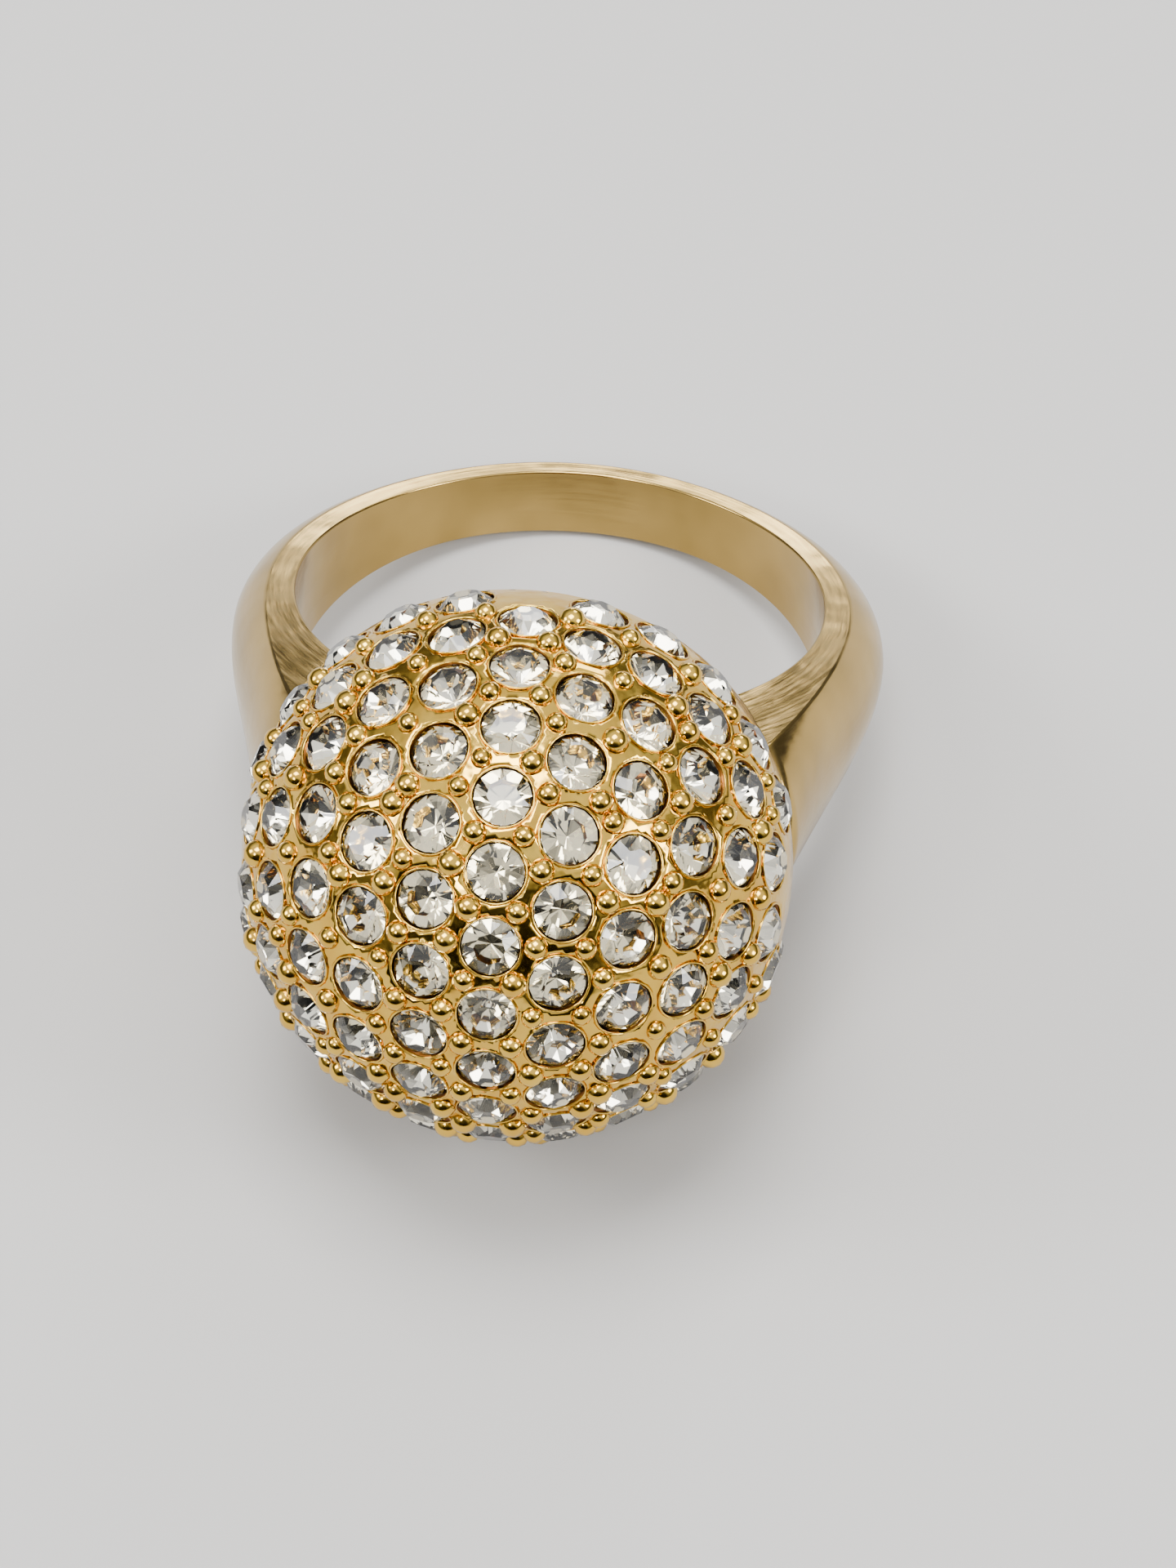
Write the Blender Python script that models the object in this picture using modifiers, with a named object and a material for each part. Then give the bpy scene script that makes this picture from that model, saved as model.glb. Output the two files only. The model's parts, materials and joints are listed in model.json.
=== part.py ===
"""Cocktail ring at rest on a table: a cast shank, a hollow pave dome and its round glass stones.

The ring lies on its side.  Every piece is built in the ring's own frame, where local Z is the finger
axis and local -Y points out of the finger hole to the middle of the dome.  One empty, "resting_pose",
tips that frame back until the ring stands on the back of the band and on the lowest stones of the dome.
Lengths are in metres, and every driving dimension below is in millimetres times MM.
"""
import math

import bmesh
import bpy
from mathutils import Matrix, Quaternion, Vector

MM = 0.001
RING_NAME = "cocktail_ring"

# Finger hole and band.  "Back" is the thin side under the finger, "head" is the dome's side.
HOLE_DIAMETER = 17.3 * MM
BAND_WIDTH_BACK = 2.4 * MM
BAND_WIDTH_HEAD = 6.2 * MM
BACK_FLAT_ANGLE = math.radians(20.0)     # the band keeps its least width this far either side of the back
EDGE_THICKNESS_BACK = 0.65 * MM          # the flat side edge, measured outwards from the finger hole
EDGE_THICKNESS_HEAD = 1.15 * MM
CROWN_BACK = 0.5 * MM                    # how far the rounded outer face swells past the side edges
CROWN_SIDE = 1.15 * MM
CROWN_HALF_ANGLE = math.radians(62.0)    # half the arc that the outer face's section is cut from

# Shoulders, where the band rises to the dome.
SHOULDER_MEETS_DOME = math.radians(100.0)  # polar angle on the dome that the shoulder's crown runs to
SHOULDER_CROWN_POWER = 3.5                 # how late the crown rises on its way to the dome
SHOULDER_EDGE_RISE = 2.0 * MM              # extra side edge where the shoulder meets the dome
SHOULDER_EDGE_POWER = 2.5
BRIDGE_THICKNESS = 1.0 * MM              # the band where it passes under the dome
BRIDGE_EDGE_DROP = 0.25 * MM             # how much thinner its side edges are
BRIDGE_INSIDE_WALL = math.radians(4.0)   # the bridge is full this far inside the dome's inner rim
SHOULDER_INSIDE_WALL = math.radians(1.5)  # the shoulder is full this far inside the dome's outer rim

# Dome: a ball's cap, cast hollow and open towards the finger.
DOME_DIAMETER = 17.2 * MM
DOME_WALL = 1.5 * MM
DOME_CENTRE_ABOVE_HOLE = 3.54 * MM       # from the finger hole's surface to the ball's centre
RIM_ABOVE_HOLE = 0.32 * MM               # from the finger hole's surface to the plane of the dome's rim
SOLDER_GAP = 0.05 * MM                   # between the shank's seat and the dome's wall

# Stones: round chatons with a pointed back, each in a conical seat.
STONE_DIAMETER = 1.75 * MM
STONE_TABLE_DIAMETER = 0.97 * MM
STONE_CROWN_HEIGHT = 0.30 * MM
STONE_GIRDLE_HEIGHT = 0.06 * MM
STONE_PAVILION_DEPTH = 0.74 * MM
STONE_SINK = 0.05 * MM                   # how far the girdle lies under the dome's surface
SEAT_CLEARANCE = 0.04 * MM
STONE_GAP = 0.55 * MM                    # between neighbours in a row
ROW_GAP = 0.37 * MM                      # between one row and the next
ROW_SHIFT_ANGLE = math.radians(2.5)      # the pattern's middle, towards the upper side
HALF_STEP_ROWS = (1, 4)                  # rows, counted either way from the middle, that are staggered
LAST_ROW_LATITUDE = math.radians(75.0)
SHOULDER_STONE_LIMIT = math.radians(100.0)  # the outermost rows stop here, at the shoulders
SHOULDER_ROW_LATITUDE = math.radians(62.0)
RIM_LAND = 0.12 * MM                     # metal left between the last seats and the rim
SEPARATE_ROWS = {-1: "left", 0: "centre", 1: "right"}

# Facets.
BAND_STATIONS = 72
CROWN_POINTS = 8
DOME_SIDES = 48
DOME_OUTER_POINTS = 15
DOME_INNER_POINTS = 8
STONE_SIDES = 8
MERGE_DISTANCE = 0.001 * MM

# Worked out from the above.
HOLE_RADIUS = HOLE_DIAMETER / 2
DOME_RADIUS = DOME_DIAMETER / 2
DOME_CENTRE = HOLE_RADIUS + DOME_CENTRE_ABOVE_HOLE
RIM_DROP = DOME_CENTRE_ABOVE_HOLE - RIM_ABOVE_HOLE
SHOULDER_TOP_SIDE = DOME_RADIUS * math.sin(SHOULDER_MEETS_DOME)
SHOULDER_TOP_HEIGHT = DOME_CENTRE + DOME_RADIUS * math.cos(SHOULDER_MEETS_DOME)
SHOULDER_TOP = math.hypot(SHOULDER_TOP_SIDE, SHOULDER_TOP_HEIGHT)
SHOULDER_END = math.atan2(SHOULDER_TOP_SIDE, SHOULDER_TOP_HEIGHT)
RIM_HEIGHT = HOLE_RADIUS + RIM_ABOVE_HOLE
RIM_OUTER_RADIUS = math.sqrt(DOME_RADIUS**2 - RIM_DROP**2)
RIM_INNER_RADIUS = math.sqrt((DOME_RADIUS - DOME_WALL)**2 - RIM_DROP**2)
BRIDGE_HALF_ANGLE = math.atan2(RIM_INNER_RADIUS, RIM_HEIGHT) - BRIDGE_INSIDE_WALL
BRIDGE_END_ANGLE = math.atan2(RIM_OUTER_RADIUS, RIM_HEIGHT) - SHOULDER_INSIDE_WALL
GIRDLE_RADIUS = math.sqrt(DOME_RADIUS**2 - (STONE_DIAMETER / 2)**2) - STONE_SINK
STONE_TOP_RADIUS = GIRDLE_RADIUS + STONE_CROWN_HEIGHT
ROW_STEP_ANGLE = (STONE_DIAMETER + ROW_GAP) / DOME_RADIUS
STONE_STEP_ANGLE = (STONE_DIAMETER + STONE_GAP) / DOME_RADIUS
SEAT_HALF_ANGLE = math.asin((STONE_DIAMETER / 2 + SEAT_CLEARANCE + RIM_LAND) / DOME_RADIUS)


def ease(fraction):
    """Rise from 0 to 1 with level ends."""
    clipped = min(max(fraction, 0.0), 1.0)
    return (1 - math.cos(math.pi * clipped)) / 2


# Band sections.  The station angle runs from 0 at the back to pi at the head.

def half_width(angle):
    growth = (BAND_WIDTH_HEAD - BAND_WIDTH_BACK) / 2
    return BAND_WIDTH_BACK / 2 + growth * ease((angle - BACK_FLAT_ANGLE) / (math.pi - BACK_FLAT_ANGLE))


def shoulder_climb(angle):
    """Return how far a station is along the shoulder: 0 up to the side of the hole, 1 at the dome."""
    quarter = math.pi / 2
    return min(max(angle - quarter, 0.0) / (quarter - SHOULDER_END), 1.0)


def edge_thickness(angle):
    return EDGE_THICKNESS_BACK + (EDGE_THICKNESS_HEAD - EDGE_THICKNESS_BACK) * math.sin(angle / 2)**2


def edge_radius(angle):
    """Return the radius of the ridge between the flat side edge and the rounded outer face."""
    rise = SHOULDER_EDGE_RISE * shoulder_climb(angle)**SHOULDER_EDGE_POWER
    return HOLE_RADIUS + edge_thickness(angle) + rise


def crown_radius(angle):
    """Return the radius of the outer face on the middle line of the band."""
    side = min(angle, math.pi / 2)
    swell = CROWN_BACK + (CROWN_SIDE - CROWN_BACK) * ease(side * 2 / math.pi)
    band = HOLE_RADIUS + edge_thickness(side) + swell
    return band + (SHOULDER_TOP - band) * shoulder_climb(angle)**SHOULDER_CROWN_POWER


def bridge_share(angle):
    """Return 1 where the band passes under the dome and 0 where it is a shoulder."""
    from_head = math.pi - angle
    return 1 - ease((from_head - BRIDGE_HALF_ANGLE) / (BRIDGE_END_ANGLE - BRIDGE_HALF_ANGLE))


def band_section(angle):
    """List a section's corners as (radius, height along the finger axis), in order round the section."""
    half = half_width(angle)
    bridge = bridge_share(angle)
    under_dome = HOLE_RADIUS + BRIDGE_THICKNESS
    edge = edge_radius(angle) * (1 - bridge) + (under_dome - BRIDGE_EDGE_DROP) * bridge
    crown = crown_radius(angle) * (1 - bridge) + under_dome * bridge
    corners = [(HOLE_RADIUS, -half), (HOLE_RADIUS, half)]
    for step in range(CROWN_POINTS + 1):
        turn = CROWN_HALF_ANGLE * (1 - 2 * step / CROWN_POINTS)
        swell = (math.cos(turn) - math.cos(CROWN_HALF_ANGLE)) / (1 - math.cos(CROWN_HALF_ANGLE))
        corners.append((edge + (crown - edge) * swell, half * math.sin(turn) / math.sin(CROWN_HALF_ANGLE)))
    return corners


# Stones' places.

def stone_rows():
    """Return {row number: [unit vectors]} from the dome's centre, in the dome's own frame."""
    rows = {}
    last = int(LAST_ROW_LATITUDE / ROW_STEP_ANGLE)
    lowest = -RIM_DROP / DOME_RADIUS
    polar_limit = math.acos(lowest) - SEAT_HALF_ANGLE
    for row in range(-last, last + 1):
        latitude = row * ROW_STEP_ANGLE
        step = STONE_STEP_ANGLE / math.cos(latitude)
        shift = ROW_SHIFT_ANGLE + (step / 2 if abs(row) in HALF_STEP_ROWS else 0.0)
        reach = int(math.pi / step) + 1
        places = []
        for place in range(-reach, reach + 1):
            longitude = shift + place * step
            if abs(longitude) > math.pi:
                continue
            if abs(latitude) > SHOULDER_ROW_LATITUDE and abs(longitude) > SHOULDER_STONE_LIMIT:
                continue
            normal = Vector((math.sin(latitude), math.cos(latitude) * math.sin(longitude),
                             math.cos(latitude) * math.cos(longitude)))
            if math.acos(normal.z) <= polar_limit:
                places.append(normal)
        rows[row] = places
    return rows


# Resting pose.

def stone_turn(normal):
    """Return the turn that stands a stone on the dome, with a flat side and not a corner along its row."""
    half_side = Quaternion((0.0, 0.0, 1.0), math.pi / STONE_SIDES)
    return normal.to_track_quat("Z", "Y") @ half_side


def stone_corners(rows):
    """List the corners of every stone's table and girdle, in the dome's own frame."""
    corners = []
    for places in rows.values():
        for normal in places:
            turn = stone_turn(normal)
            for side in range(STONE_SIDES):
                around = 2 * math.pi * side / STONE_SIDES
                spoke = Vector((math.cos(around), math.sin(around), 0.0))
                corners.append(normal * STONE_TOP_RADIUS + turn @ spoke * (STONE_TABLE_DIAMETER / 2))
                corners.append(normal * GIRDLE_RADIUS + turn @ spoke * (STONE_DIAMETER / 2))
    return corners


def reach_of_ring(down, corners):
    """Return how far the dome and the back of the band reach along a direction (finger axis, dome axis)."""
    finger, dome = down
    dome_reach = max(corner.y * finger + corner.z * dome for corner in corners)
    dome_reach = max(dome_reach, RIM_OUTER_RADIUS * abs(finger) - RIM_DROP * dome) + DOME_CENTRE * dome
    band_reach = max(-radius * dome + abs(height * finger) for radius, height in band_section(0.0))
    return dome_reach, band_reach


def rest_tilt(corners):
    """Find the tilt at which the dome and the back of the band both touch the table."""
    low, high = 0.0, math.radians(60.0)
    for _ in range(60):
        middle = (low + high) / 2
        dome_reach, band_reach = reach_of_ring((-math.cos(middle), -math.sin(middle)), corners)
        if dome_reach > band_reach:
            low = middle
        else:
            high = middle
    return (low + high) / 2


def make_resting_pose(rows):
    corners = stone_corners(rows)
    tilt = rest_tilt(corners)
    lift = max(reach_of_ring((-math.cos(tilt), -math.sin(tilt)), corners))
    front = max(reach_of_ring((-math.sin(tilt), math.cos(tilt)), corners))
    back = max(reach_of_ring((math.sin(tilt), -math.cos(tilt)), corners))
    pose = bpy.data.objects.new("resting_pose", None)
    pose.rotation_euler = (-tilt, 0.0, 0.0)
    pose.location = (0.0, (front - back) / 2, lift)
    return pose


# Blender helpers.

def clear_scene():
    for thing in list(bpy.data.objects):
        bpy.data.objects.remove(thing, do_unlink=True)


def new_collection(name):
    collection = bpy.data.collections.new(name)
    bpy.context.scene.collection.children.link(collection)
    return collection


def metal_or_glass(name, colour, roughness, metallic, transmission=0.0):
    material = bpy.data.materials.new(name)
    material.use_nodes = True
    shader = material.node_tree.nodes["Principled BSDF"]
    shader.inputs["Base Color"].default_value = (*colour, 1.0)
    shader.inputs["Roughness"].default_value = roughness
    shader.inputs["Metallic"].default_value = metallic
    shader.inputs["Transmission Weight"].default_value = transmission
    return material


def add_object(name, mesh, collection, parent, material=None):
    thing = bpy.data.objects.new(name, mesh)
    collection.objects.link(thing)
    thing.parent = parent
    if material is not None and not mesh.materials:
        mesh.materials.append(material)
    return thing


def hide_cutter(cutter):
    cutter.hide_render = True
    cutter.display_type = "WIRE"


def profile_mesh(name, points):
    """Make an open outline in the XZ plane from (distance from the axis, height) points."""
    mesh = bpy.data.meshes.new(name)
    corners = [(radius, 0.0, height) for radius, height in points]
    edges = [(index, index + 1) for index in range(len(corners) - 1)]
    mesh.from_pydata(corners, edges, [])
    return mesh


def turn_profile(thing, sides):
    screw = thing.modifiers.new("turned", "SCREW")
    screw.steps = sides
    screw.render_steps = sides
    screw.use_merge_vertices = True
    screw.merge_threshold = MERGE_DISTANCE
    screw.use_smooth_shade = False


def cut(thing, cutter, name):
    boolean = thing.modifiers.new(name, "BOOLEAN")
    boolean.operation = "DIFFERENCE"
    boolean.solver = "EXACT"
    boolean.object = cutter


def evaluated_mesh(thing):
    bpy.context.view_layer.update()
    graph = bpy.context.evaluated_depsgraph_get()
    return bpy.data.meshes.new_from_object(thing.evaluated_get(graph))


# Pieces.

def dome_profile(gap):
    """Outline half of the dome's wall, outer arc first, grown by a gap on every side."""
    outer = DOME_RADIUS + gap
    inner = DOME_RADIUS - DOME_WALL - gap
    rim = -RIM_DROP - gap
    outer_end = math.acos(rim / outer)
    inner_end = math.acos(rim / inner)
    points = []
    for step in range(DOME_OUTER_POINTS + 1):
        polar = outer_end * step / DOME_OUTER_POINTS
        points.append((outer * math.sin(polar), outer * math.cos(polar)))
    for step in range(DOME_INNER_POINTS, -1, -1):
        polar = inner_end * step / DOME_INNER_POINTS
        points.append((inner * math.sin(polar), inner * math.cos(polar)))
    return points


def stone_profile(gap, cap_height):
    """Outline half of a stone about its own axis, girdle's upper edge at height 0."""
    girdle = STONE_DIAMETER / 2 + gap
    depth = STONE_PAVILION_DEPTH + STONE_GIRDLE_HEIGHT + gap
    if gap:
        top = [(0.0, cap_height), (girdle, cap_height)]
    else:
        top = [(0.0, cap_height), (STONE_TABLE_DIAMETER / 2, cap_height), (girdle, 0.0)]
    return top + [(girdle, -STONE_GIRDLE_HEIGHT - gap), (0.0, -depth)]


def make_shank(collection, cutters, pose, material):
    shape = bmesh.new()
    rings = []
    for station in range(BAND_STATIONS):
        turn = 2 * math.pi * station / BAND_STATIONS
        angle = min(turn, 2 * math.pi - turn)
        ring = []
        for radius, height in band_section(angle):
            ring.append(shape.verts.new((radius * math.sin(turn), radius * math.cos(turn), height)))
        rings.append(ring)
    for ring, following in zip(rings, rings[1:] + rings[:1]):
        for corner in range(len(ring)):
            after = (corner + 1) % len(ring)
            shape.faces.new((ring[corner], ring[after], following[after], following[corner]))
    bmesh.ops.recalc_face_normals(shape, faces=shape.faces)
    mesh = bpy.data.meshes.new("shank")
    shape.to_mesh(mesh)
    shape.free()
    shank = add_object("shank", mesh, collection, pose, material)
    gap_mesh = profile_mesh("dome_wall_clearance", dome_profile(SOLDER_GAP))
    dome_gap = add_object("dome_wall_clearance", gap_mesh, cutters, pose)
    turn_profile(dome_gap, DOME_SIDES)
    place_on_dome_axis(dome_gap)
    hide_cutter(dome_gap)
    cut(shank, dome_gap, "seat for the dome")
    return shank


def place_on_dome_axis(thing):
    """Stand a turned piece's own Z axis along the dome's axis, at the ball's centre."""
    thing.location = (0.0, -DOME_CENTRE, 0.0)
    thing.rotation_euler = (math.pi / 2, 0.0, 0.0)


def stone_matrix(normal):
    """Stand a stone's axis along a direction from the dome's centre."""
    turn = stone_turn(normal).to_matrix().to_4x4()
    return Matrix.Translation(normal * GIRDLE_RADIUS) @ turn


def make_dome(collection, cutters, pose, material, rows):
    dome = add_object("dome_shell", profile_mesh("dome_shell", dome_profile(0.0)), collection, pose, material)
    turn_profile(dome, DOME_SIDES)
    place_on_dome_axis(dome)
    seat_outline = stone_profile(SEAT_CLEARANCE, STONE_CROWN_HEIGHT)
    one_seat = add_object("one_seat", profile_mesh("one_seat", seat_outline), cutters, None)
    turn_profile(one_seat, STONE_SIDES)
    seat_mesh = evaluated_mesh(one_seat)
    bpy.data.objects.remove(one_seat, do_unlink=True)
    shape = bmesh.new()
    for places in rows.values():
        for normal in places:
            seat = seat_mesh.copy()
            seat.transform(stone_matrix(normal))
            shape.from_mesh(seat)
            bpy.data.meshes.remove(seat)
    seats = bpy.data.meshes.new("stone_seats")
    shape.to_mesh(seats)
    shape.free()
    cutter = add_object("stone_seats", seats, cutters, pose)
    place_on_dome_axis(cutter)
    hide_cutter(cutter)
    cut(dome, cutter, "stone seats")
    return dome


def make_stones(collection, pose, material, rows):
    stone_mesh = profile_mesh("stone", stone_profile(0.0, STONE_CROWN_HEIGHT))
    stone_mesh.materials.append(material)
    centre = bpy.data.objects.new("dome_centre", None)
    collection.objects.link(centre)
    centre.parent = pose
    place_on_dome_axis(centre)
    for row, side in SEPARATE_ROWS.items():
        for number, normal in enumerate(rows[row], start=1):
            stone = add_object(f"stone_{side}_row_{number:02d}", stone_mesh, collection, centre)
            turn_profile(stone, STONE_SIDES)
            stone.location = normal * GIRDLE_RADIUS
            stone.rotation_euler = stone_turn(normal).to_euler()


def main():
    clear_scene()
    ring = new_collection(RING_NAME)
    cutters = new_collection("cutters")
    gold = metal_or_glass("gold_plated_brass", (0.83, 0.62, 0.30), 0.25, 1.0)
    glass = metal_or_glass("clear_glass", (0.95, 0.95, 0.95), 0.03, 0.0, 0.6)
    rows = stone_rows()
    pose = make_resting_pose(rows)
    ring.objects.link(pose)
    make_shank(ring, cutters, pose, gold)
    make_dome(ring, cutters, pose, gold, rows)
    make_stones(ring, pose, glass, rows)


main()
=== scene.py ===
import json
import math

import bmesh
import bpy
from mathutils import Matrix, Vector


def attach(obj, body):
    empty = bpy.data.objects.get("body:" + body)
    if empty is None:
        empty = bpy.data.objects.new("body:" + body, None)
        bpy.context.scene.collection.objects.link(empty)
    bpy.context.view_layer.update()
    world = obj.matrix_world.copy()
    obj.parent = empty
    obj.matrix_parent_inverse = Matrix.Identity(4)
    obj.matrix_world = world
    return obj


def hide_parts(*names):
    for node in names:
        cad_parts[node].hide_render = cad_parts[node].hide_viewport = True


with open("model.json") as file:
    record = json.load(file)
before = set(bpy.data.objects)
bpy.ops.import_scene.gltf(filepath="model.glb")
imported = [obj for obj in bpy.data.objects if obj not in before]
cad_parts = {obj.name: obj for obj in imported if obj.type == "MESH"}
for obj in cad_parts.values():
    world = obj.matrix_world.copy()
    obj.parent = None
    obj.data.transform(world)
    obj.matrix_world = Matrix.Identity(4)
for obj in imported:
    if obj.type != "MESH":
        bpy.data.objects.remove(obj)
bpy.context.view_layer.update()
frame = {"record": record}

MM = 0.001

# The ring's driving sizes, the same as the solids'.
HOLE_RADIUS = 8.65 * MM
BAND_WIDTH_BACK = 2.4 * MM
BAND_WIDTH_HEAD = 6.2 * MM
BACK_FLAT_ANGLE = math.radians(20.0)
EDGE_THICKNESS_BACK = 0.65 * MM
EDGE_THICKNESS_HEAD = 1.15 * MM
MOUNT_ACROSS_EDGE = 0.45                 # how far across the side edge the record's edge mount lies
CROWN_BACK = 0.5 * MM
CROWN_SIDE = 1.15 * MM
CROWN_HALF_ANGLE = math.radians(62.0)
SHOULDER_MEETS_DOME = math.radians(100.0)
SHOULDER_CROWN_POWER = 3.5
SHOULDER_EDGE_RISE = 2.0 * MM
SHOULDER_EDGE_POWER = 2.5
BRIDGE_THICKNESS = 1.0 * MM
BRIDGE_EDGE_DROP = 0.25 * MM
BRIDGE_INSIDE_WALL = math.radians(4.0)
SHOULDER_INSIDE_WALL = math.radians(1.5)
DOME_RADIUS = 8.6 * MM
DOME_WALL = 1.5 * MM
DOME_CENTRE_ABOVE_HOLE = 3.54 * MM
RIM_ABOVE_HOLE = 0.32 * MM
STONE_RADIUS = 0.875 * MM
STONE_TABLE_RADIUS = 0.485 * MM
STONE_CROWN_HEIGHT = 0.30 * MM
STONE_GIRDLE_HEIGHT = 0.06 * MM
STONE_PAVILION_DEPTH = 0.74 * MM
STONE_SINK = 0.05 * MM
SEAT_CLEARANCE = 0.04 * MM
RIM_LAND = 0.12 * MM
STONE_GAP = 0.55 * MM
ROW_GAP = 0.37 * MM
ROW_SHIFT_ANGLE = math.radians(2.5)
HALF_STEP_ROWS = (1, 4)
LAST_ROW_LATITUDE = math.radians(75.0)
SHOULDER_STONE_LIMIT = math.radians(100.0)
SHOULDER_ROW_LATITUDE = math.radians(62.0)
LAST_SOLID_ROW = 1                       # on each side, the solids have the stones up to this row

# The shank's fine surface.
BAND_STATIONS = 288
CROWN_POINTS = 26
SIDE_EDGE_CORNERS = (0, 1, 2, -1)        # the section's corners, where its two flat side edges end
EDGE_ROUNDING = 0.07 * MM
EDGE_ROUNDING_STEPS = 3

# The dome's fine surface.
SKIN_SUBDIVISIONS = 7
SKIN_CELL = 0.16 * MM                    # the spacing of the skin's points
SEAT_WALL_DEPTH = 0.45 * MM
SHELL_SIDES = 192
SHELL_STEPS = 40
SHELL_SHARP_ANGLE = math.radians(40.0)
SAME_POINT = 0.001 * MM
SAME_LEVEL = 0.01 * MM
BURR_WIDTH = 0.07 * MM                   # the thin lip that the cutter raised round each seat
BURR_HEIGHT = 0.04 * MM
BURR_SIDES = 32
BURR_LIP_SIDES = 6
GRAIN_RADIUS = 0.42 * MM
GRAIN_SIZES = (0.82, 1.10)               # the smallest and largest, as parts of that radius
GRAIN_SINK = 0.05 * MM
GRAIN_SPACING = 0.5 * MM                 # grains nearer than this are one grain
GRAIN_ABOVE_RIM = 1.15                   # how far a grain's middle stays above the rim, in its radii
GRAIN_SUBDIVISIONS = 2
GRAIN_SEED = 3
HULL_ON_BALL = 0.975                     # faces nearer the centre, in ball radii, span the open side

# The stones' fine surface.
STONE_SIDES = 8
STONE_GIRDLE_SCALLOP = 0.03 * MM
STONE_TIP = math.radians(3.0)            # how far a stone leans at most, as it was set by hand
STONE_SEED = 11

# Finishes.
RIPPLE_DETAIL = 2.0
SCRATCH_DETAIL = 3.0
SCRATCH_RANGE = (0.3, 0.7)               # the part of the scratches' noise that changes the roughness
SCRATCH_ROUGHNESS = (0.75, 1.3)          # the least and the most roughness, as parts of the mean
BUFFING_LENGTH = 3.5 * MM                # how long the polishing scratches round the band are

# Worked out from the above.
DOME_CENTRE = HOLE_RADIUS + DOME_CENTRE_ABOVE_HOLE
RIM_DROP = DOME_CENTRE_ABOVE_HOLE - RIM_ABOVE_HOLE
SHOULDER_TOP_SIDE = DOME_RADIUS * math.sin(SHOULDER_MEETS_DOME)
SHOULDER_TOP_HEIGHT = DOME_CENTRE + DOME_RADIUS * math.cos(SHOULDER_MEETS_DOME)
SHOULDER_TOP = math.hypot(SHOULDER_TOP_SIDE, SHOULDER_TOP_HEIGHT)
SHOULDER_END = math.atan2(SHOULDER_TOP_SIDE, SHOULDER_TOP_HEIGHT)
SHELL_INNER_RADIUS = DOME_RADIUS - DOME_WALL
RIM_HEIGHT = HOLE_RADIUS + RIM_ABOVE_HOLE
RIM_OUTER_RADIUS = math.sqrt(DOME_RADIUS**2 - RIM_DROP**2)
RIM_INNER_RADIUS = math.sqrt(SHELL_INNER_RADIUS**2 - RIM_DROP**2)
BRIDGE_HALF_ANGLE = math.atan2(RIM_INNER_RADIUS, RIM_HEIGHT) - BRIDGE_INSIDE_WALL
BRIDGE_END_ANGLE = math.atan2(RIM_OUTER_RADIUS, RIM_HEIGHT) - SHOULDER_INSIDE_WALL
SEAT_RADIUS = STONE_RADIUS + SEAT_CLEARANCE + BURR_WIDTH / 2
GIRDLE_LEVEL = math.sqrt(DOME_RADIUS**2 - STONE_RADIUS**2) - STONE_SINK
ROW_STEP_ANGLE = (2 * STONE_RADIUS + ROW_GAP) / DOME_RADIUS
STONE_STEP_ANGLE = (2 * STONE_RADIUS + STONE_GAP) / DOME_RADIUS
SEAT_HALF_ANGLE = math.asin((STONE_RADIUS + SEAT_CLEARANCE + RIM_LAND) / DOME_RADIUS)

# Camera and studio.
CAMERA_PLACE = (0.01373, -0.10916, 0.16781)
CAMERA_AIM = (0.00137, 0.00177, 0.00186)
CAMERA_ROLL = math.radians(-0.33)
CAMERA_LENS = 139.8
SENSOR = 36.0
CLIP_START = 0.01
FLOOR_HALF_WIDTH = 1.5
DARK_SIDE_WAY = (0.0, -0.95, 0.31)       # the dark side of the studio, where the viewer stands
DARK_SIDE_EDGE = (0.70, 0.90)            # the cosines off that way where the dark starts and is full
DARK_SIDE_LIGHT = 0.05
CEILING_EDGE = (0.2, 0.85)               # the sines of elevation where the wall ends and the ceiling starts
WALL_LIGHT = 0.14
CEILING_LIGHT = 1.5
SOFT_BOXES = (                           # name, place, width, radiance
    ("overhead", (-0.04, 0.04, 0.50), 0.24, 17.0),
    ("left", (-0.42, -0.06, 0.32), 0.18, 17.0),
    ("right", (0.42, -0.10, 0.28), 0.18, 19.0),
    ("front", (-0.20, -0.36, 0.42), 0.11, 30.0),
    ("back", (0.12, 0.50, 0.30), 0.16, 9.0),
    ("low_back", (-0.10, 1.60, 0.19), 0.23, 10.0),
)


# Frames.

def ring_and_dome_frames():
    """Work the ring's and the dome's matrices out from the record's mount on the band's side edge."""
    mount = next(mount for mount in frame["record"]["mounts"] if mount["name"] == "band_edge_upper")
    finger = Vector(mount["axis"]).normalized()
    out = Vector((0.0, -finger.z, finger.y))
    edge_middle = HOLE_RADIUS + EDGE_THICKNESS_BACK * MOUNT_ACROSS_EDGE
    hole = Vector(mount["pos_m"]) - finger * BAND_WIDTH_BACK / 2 + out * edge_middle
    side = Vector((1.0, 0.0, 0.0))
    ring = Matrix((side, -out, finger)).transposed().to_4x4()
    ring.translation = hole
    dome = Matrix((side, finger, out)).transposed().to_4x4()
    dome.translation = hole + out * DOME_CENTRE
    return ring, dome


# Blender helpers.

def linear(hex_colour):
    """Turn an sRGB hex colour into the linear RGBA that Blender's sockets hold."""
    channels = []
    for index in (0, 2, 4):
        value = int(hex_colour[index:index + 2], 16) / 255
        channels.append(value / 12.92 if value <= 0.04045 else ((value + 0.055) / 1.055)**2.4)
    return channels + [1.0]


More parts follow.
